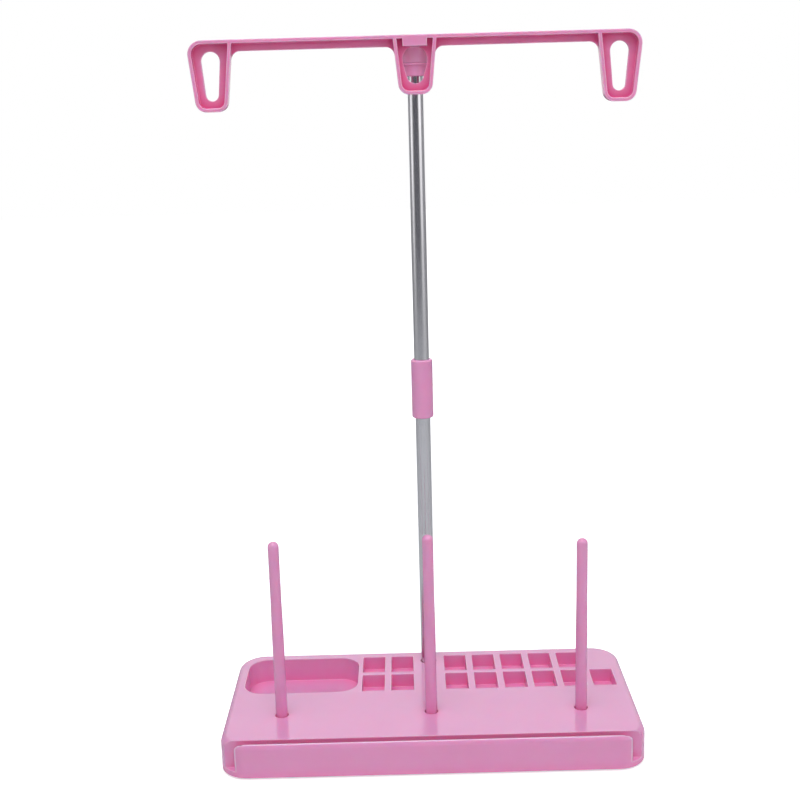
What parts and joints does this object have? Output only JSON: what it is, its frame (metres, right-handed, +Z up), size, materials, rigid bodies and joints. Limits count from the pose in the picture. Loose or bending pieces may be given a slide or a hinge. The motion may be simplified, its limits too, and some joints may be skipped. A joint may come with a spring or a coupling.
{
  "type": "thread rack",
  "caption": "Thread rack: moulded base with bobbin pockets, a notions tray and a card slot, push-in spool pins, a jointed steel mast and a swivelling thread guide bar.",
  "frame": {"origin": "centre of the base in plan, on the plane the rubber feet stand on", "axes": "+Z up along the mast and the spool pins, -Y towards the user (the card slot), +X to the user's right"},
  "size_m": [0.2768, 0.1304, 0.441],
  "materials": {
    "pink_plastic": "glossy moulded plastic",
    "steel_tube": "drawn stainless tube, lengthwise polish",
    "rubber_feet": "matt grey rubber"
  },
  "bodies": {
    "base": {"base_shell": "pink_plastic", "rubber_foot_front_left": "rubber_feet", "rubber_foot_front_right": "rubber_feet", "rubber_foot_back_left": "rubber_feet", "rubber_foot_back_right": "rubber_feet"},
    "pin_left": {"spool_pin_left": "pink_plastic"},
    "pin_centre": {"spool_pin_centre": "pink_plastic"},
    "pin_right": {"spool_pin_right": "pink_plastic"},
    "lower_mast": {"lower_tube": "steel_tube", "tube_coupling": "pink_plastic"},
    "upper_mast": {"upper_tube": "steel_tube", "head_collar": "pink_plastic"},
    "guide": {"guide_bar": "pink_plastic"}
  },
  "joints": [
    {"name": "pin_left_lift", "type": "slide", "parent": "base", "child": "pin_left", "axis": [0, 0, 1], "range_m": [0, 0.03]},
    {"name": "pin_centre_lift", "type": "slide", "parent": "base", "child": "pin_centre", "axis": [0, 0, 1], "range_m": [0, 0.03]},
    {"name": "pin_right_lift", "type": "slide", "parent": "base", "child": "pin_right", "axis": [0, 0, 1], "range_m": [0, 0.03]},
    {"name": "lower_mast_lift", "type": "slide", "parent": "base", "child": "lower_mast", "axis": [0, 0, 1], "range_m": [0, 0.03]},
    {"name": "upper_mast_lift", "type": "slide", "parent": "lower_mast", "child": "upper_mast", "axis": [0, 0, 1], "range_m": [0, 0.03]},
    {"name": "guide_swivel", "type": "hinge", "parent": "upper_mast", "child": "guide", "pos_m": [0, 0.0489, 0.43], "axis": [0, 0, 1], "continuous": true}
  ]
}
